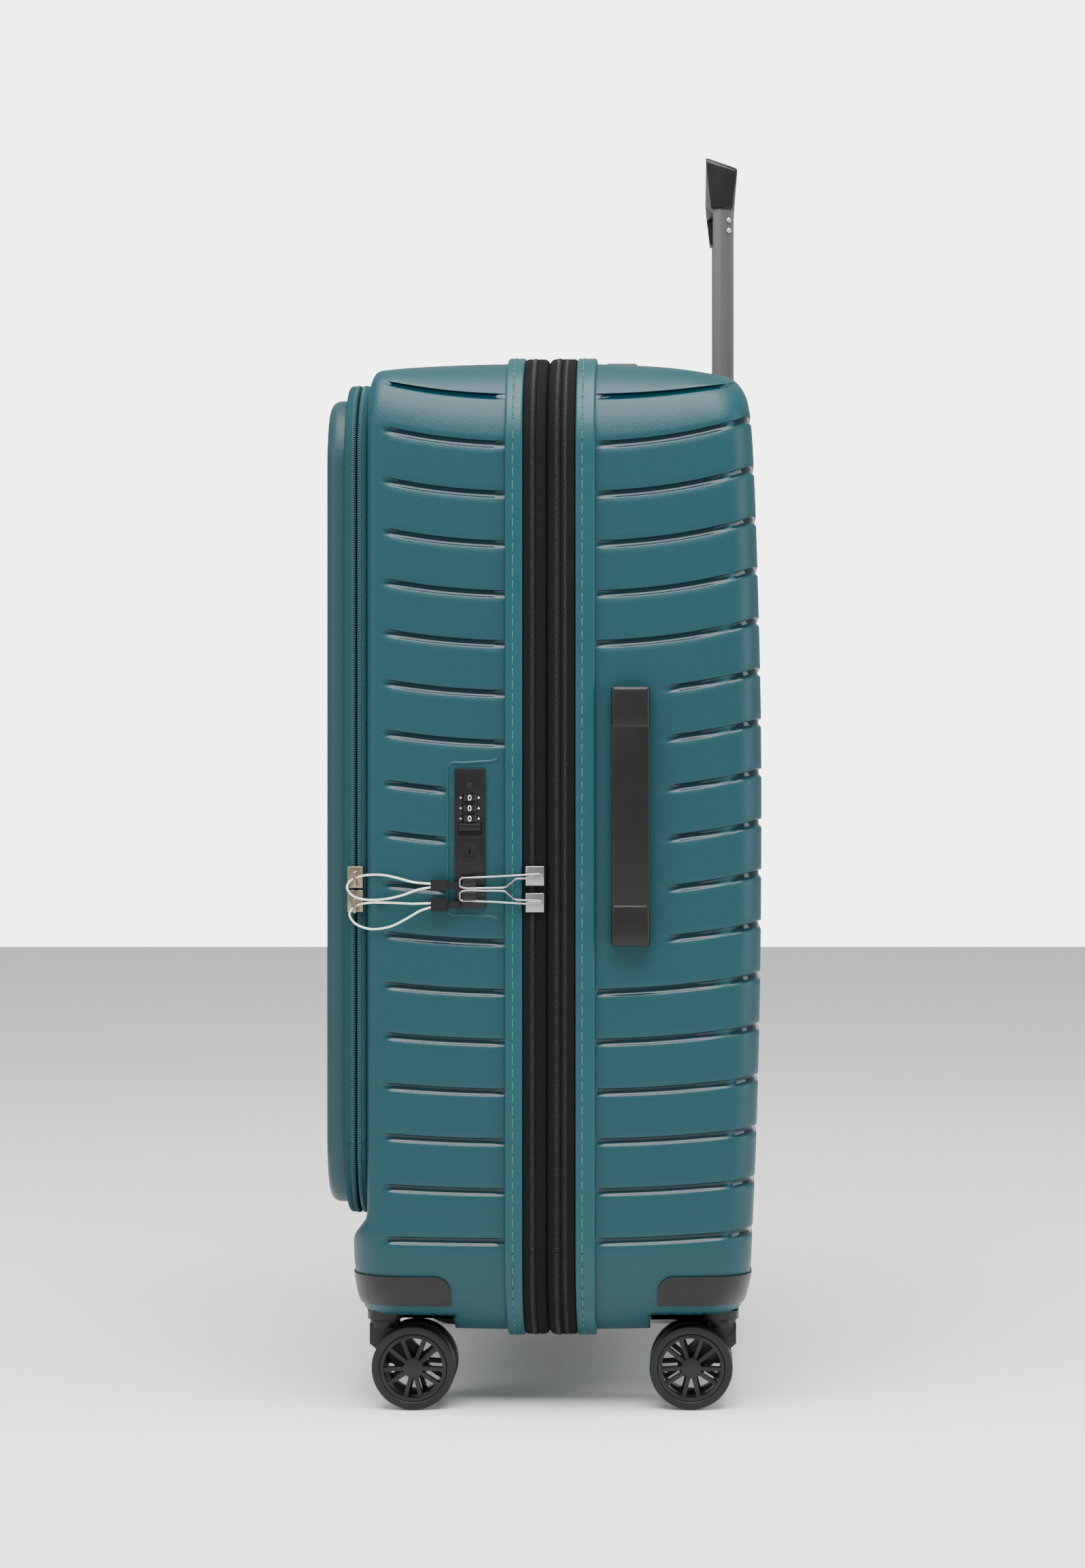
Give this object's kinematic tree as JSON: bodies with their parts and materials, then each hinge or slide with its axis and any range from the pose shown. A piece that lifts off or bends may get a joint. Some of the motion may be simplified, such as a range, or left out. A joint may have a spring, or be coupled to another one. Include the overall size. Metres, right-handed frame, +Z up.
{
  "type": "hard shell suitcase on wheels",
  "caption": "Ribbed hard shell suitcase with a zipped front pocket, combination lock, telescopic trolley handle and twin swivel casters.",
  "frame": {"origin": "centre of the footprint, on the floor", "axes": "+Z up, +X towards the side with the lock, -Y towards the front pocket"},
  "size_m": [0.532, 0.316, 0.9365],
  "materials": {
    "shell_teal": "fine matt grain on the ribs, gloss in the grooves",
    "binding_teal": "satin piping with a stitched seam",
    "door_teal": "fine matt grain",
    "zip_black": "woven zip tape with nylon teeth",
    "zip_teal": "woven zip tape with nylon teeth",
    "lining_grey": "plain woven lining",
    "black_plastic": "fine satin moulding",
    "lock_plastic": "satin moulding",
    "tube_aluminium": "anodised, brushed along its length",
    "slider_chrome": "polished",
    "slider_pewter": "aged, warm tint",
    "cable_wire": "clear-coated steel strand",
    "axle_steel": "turned",
    "wheel_plastic": "satin moulding",
    "tyre": "smooth polyurethane tread"
  },
  "bodies": {
    "rear_case": {"rear_shell": "shell_teal", "rear_binding": "binding_teal", "rear_zip_tape": "zip_black", "expansion_gusset": "zip_black", "rear_lining": "lining_grey", "trolley_tray": "black_plastic", "trolley_outer_tubes": "tube_aluminium", "handle_sockets": "black_plastic", "rear_corner_guards": "black_plastic", "rear_side_feet": "black_plastic", "rear_caster_bases": "black_plastic"},
    "zip_frame": {"middle_zip_tape": "zip_black"},
    "front_case": {"front_shell": "shell_teal", "front_binding": "binding_teal", "front_zip_tape": "zip_black", "front_lining": "lining_grey", "pocket_zip_band": "zip_teal", "lock_housing": "lock_plastic", "front_corner_guards": "black_plastic", "front_side_feet": "black_plastic", "front_caster_bases": "black_plastic"},
    "pocket_door": {"front_door": "door_teal", "door_zip_band": "zip_teal"},
    "dial_1": {"lock_dial_1": "lock_plastic"},
    "dial_2": {"lock_dial_2": "lock_plastic"},
    "dial_3": {"lock_dial_3": "lock_plastic"},
    "key_barrel": {"key_cylinder": "slider_chrome"},
    "lock_button": {"lock_slide": "lock_plastic"},
    "main_slide_upper": {"main_slider_upper": "slider_chrome"},
    "main_pull_upper": {"main_puller_upper": "slider_chrome"},
    "main_slide_lower": {"main_slider_lower": "slider_chrome"},
    "main_pull_lower": {"main_puller_lower": "slider_chrome"},
    "pocket_slide_upper": {"pocket_slider_upper": "slider_pewter", "cable_end_upper": "black_plastic", "pocket_cable_upper": "cable_wire"},
    "pocket_slide_lower": {"pocket_slider_lower": "slider_pewter", "cable_end_lower": "black_plastic", "pocket_cable_lower": "cable_wire"},
    "side_handle": {"side_handle_grip": "black_plastic"},
    "top_handle": {"top_handle_grip": "black_plastic"},
    "trolley_middle": {"trolley_middle_tubes": "tube_aluminium"},
    "trolley_inner": {"trolley_inner_tubes": "tube_aluminium", "trolley_grip": "black_plastic"},
    "grip_button": {"trolley_button": "black_plastic"},
    "front_left_fork_body": {"front_left_fork": "black_plastic", "front_left_axle": "axle_steel"},
    "front_left_wheels": {"front_left_rims": "wheel_plastic", "front_left_tyres": "tyre"},
    "front_right_fork_body": {"front_right_fork": "black_plastic", "front_right_axle": "axle_steel"},
    "front_right_wheels": {"front_right_rims": "wheel_plastic", "front_right_tyres": "tyre"},
    "rear_left_fork_body": {"rear_left_fork": "black_plastic", "rear_left_axle": "axle_steel"},
    "rear_left_wheels": {"rear_left_rims": "wheel_plastic", "rear_left_tyres": "tyre"},
    "rear_right_fork_body": {"rear_right_fork": "black_plastic", "rear_right_axle": "axle_steel"},
    "rear_right_wheels": {"rear_right_rims": "wheel_plastic", "rear_right_tyres": "tyre"}
  },
  "joints": [
    {"name": "expansion_slide", "type": "slide", "parent": "rear_case", "child": "zip_frame", "axis": [0, -1, 0], "range_m": [0, 0.04]},
    {"name": "case_opening_hinge", "type": "hinge", "parent": "zip_frame", "child": "front_case", "pos_m": [-0.265, -0.003, 0.41], "axis": [0, 0, -1], "range_deg": [0, 180]},
    {"name": "pocket_door_hinge", "type": "hinge", "parent": "front_case", "child": "pocket_door", "pos_m": [-0.2445, -0.1336, 0.443], "axis": [0, 0, -1], "range_deg": [0, 90]},
    {"name": "dial_1_spin", "type": "hinge", "parent": "front_case", "child": "dial_1", "pos_m": [0.2519, -0.05035, 0.4461], "axis": [0, 0, 1], "continuous": true},
    {"name": "dial_2_spin", "type": "hinge", "parent": "front_case", "child": "dial_2", "pos_m": [0.2519, -0.05035, 0.4386], "axis": [0, 0, 1], "continuous": true},
    {"name": "dial_3_spin", "type": "hinge", "parent": "front_case", "child": "dial_3", "pos_m": [0.2519, -0.05035, 0.4311], "axis": [0, 0, 1], "continuous": true},
    {"name": "key_turn", "type": "hinge", "parent": "front_case", "child": "key_barrel", "pos_m": [0.25, -0.05035, 0.4074], "axis": [1, 0, 0], "range_deg": [0, 90]},
    {"name": "lock_button_press", "type": "slide", "parent": "front_case", "child": "lock_button", "axis": [0, 0, -1], "range_m": [0, 0.003], "stiffness_N_per_m": 400},
    {"name": "main_zip_upper_slide", "type": "slide", "parent": "front_case", "child": "main_slide_upper", "axis": [0, 0, 1], "range_m": [0, 0.28]},
    {"name": "main_puller_upper_swing", "type": "hinge", "parent": "main_slide_upper", "child": "main_pull_upper", "pos_m": [0.264, -0.0033, 0.39], "axis": [0, 0, 1], "range_deg": [0, 95]},
    {"name": "main_zip_lower_slide", "type": "slide", "parent": "front_case", "child": "main_slide_lower", "axis": [0, 0, -1], "range_m": [0, 0.24]},
    {"name": "main_puller_lower_swing", "type": "hinge", "parent": "main_slide_lower", "child": "main_pull_lower", "pos_m": [0.264, -0.0033, 0.3708], "axis": [0, 0, 1], "range_deg": [0, 95]},
    {"name": "pocket_zip_upper_slide", "type": "slide", "parent": "front_case", "child": "pocket_slide_upper", "axis": [0, 0, 1], "range_m": [0, 0.26]},
    {"name": "pocket_zip_lower_slide", "type": "slide", "parent": "front_case", "child": "pocket_slide_lower", "axis": [0, 0, -1], "range_m": [0, 0.14]},
    {"name": "side_handle_pull", "type": "slide", "parent": "rear_case", "child": "side_handle", "axis": [1, 0, 0], "range_m": [0, 0.015], "stiffness_N_per_m": 600},
    {"name": "top_handle_pull", "type": "slide", "parent": "rear_case", "child": "top_handle", "axis": [0, 0, 1], "range_m": [0, 0.015], "stiffness_N_per_m": 600},
    {"name": "trolley_middle_slide", "type": "slide", "parent": "rear_case", "child": "trolley_middle", "axis": [0, 0, 1], "range_m": [0, 0.1]},
    {"name": "trolley_inner_slide", "type": "slide", "parent": "trolley_middle", "child": "trolley_inner", "axis": [0, 0, 1], "range_m": [-0.172, 0.065]},
    {"name": "grip_button_press", "type": "slide", "parent": "trolley_inner", "child": "grip_button", "axis": [0, 0, -1], "range_m": [0, 0.003], "stiffness_N_per_m": 500},
    {"name": "front_left_swivel", "type": "hinge", "parent": "front_case", "child": "front_left_fork_body", "pos_m": [-0.203, -0.1158, 0.06], "axis": [0, 0, 1], "continuous": true},
    {"name": "front_left_roll", "type": "hinge", "parent": "front_left_fork_body", "child": "front_left_wheels", "pos_m": [-0.203, -0.0938, 0.0304], "axis": [1, 0, 0], "continuous": true},
    {"name": "front_right_swivel", "type": "hinge", "parent": "front_case", "child": "front_right_fork_body", "pos_m": [0.203, -0.1158, 0.06], "axis": [0, 0, 1], "continuous": true},
    {"name": "front_right_roll", "type": "hinge", "parent": "front_right_fork_body", "child": "front_right_wheels", "pos_m": [0.203, -0.0938, 0.0304], "axis": [1, 0, 0], "continuous": true},
    {"name": "rear_left_swivel", "type": "hinge", "parent": "rear_case", "child": "rear_left_fork_body", "pos_m": [-0.203, 0.1308, 0.06], "axis": [0, 0, 1], "continuous": true},
    {"name": "rear_left_roll", "type": "hinge", "parent": "rear_left_fork_body", "child": "rear_left_wheels", "pos_m": [-0.203, 0.1088, 0.0304], "axis": [1, 0, 0], "continuous": true},
    {"name": "rear_right_swivel", "type": "hinge", "parent": "rear_case", "child": "rear_right_fork_body", "pos_m": [0.203, 0.1308, 0.06], "axis": [0, 0, 1], "continuous": true},
    {"name": "rear_right_roll", "type": "hinge", "parent": "rear_right_fork_body", "child": "rear_right_wheels", "pos_m": [0.203, 0.1088, 0.0304], "axis": [1, 0, 0], "continuous": true}
  ]
}
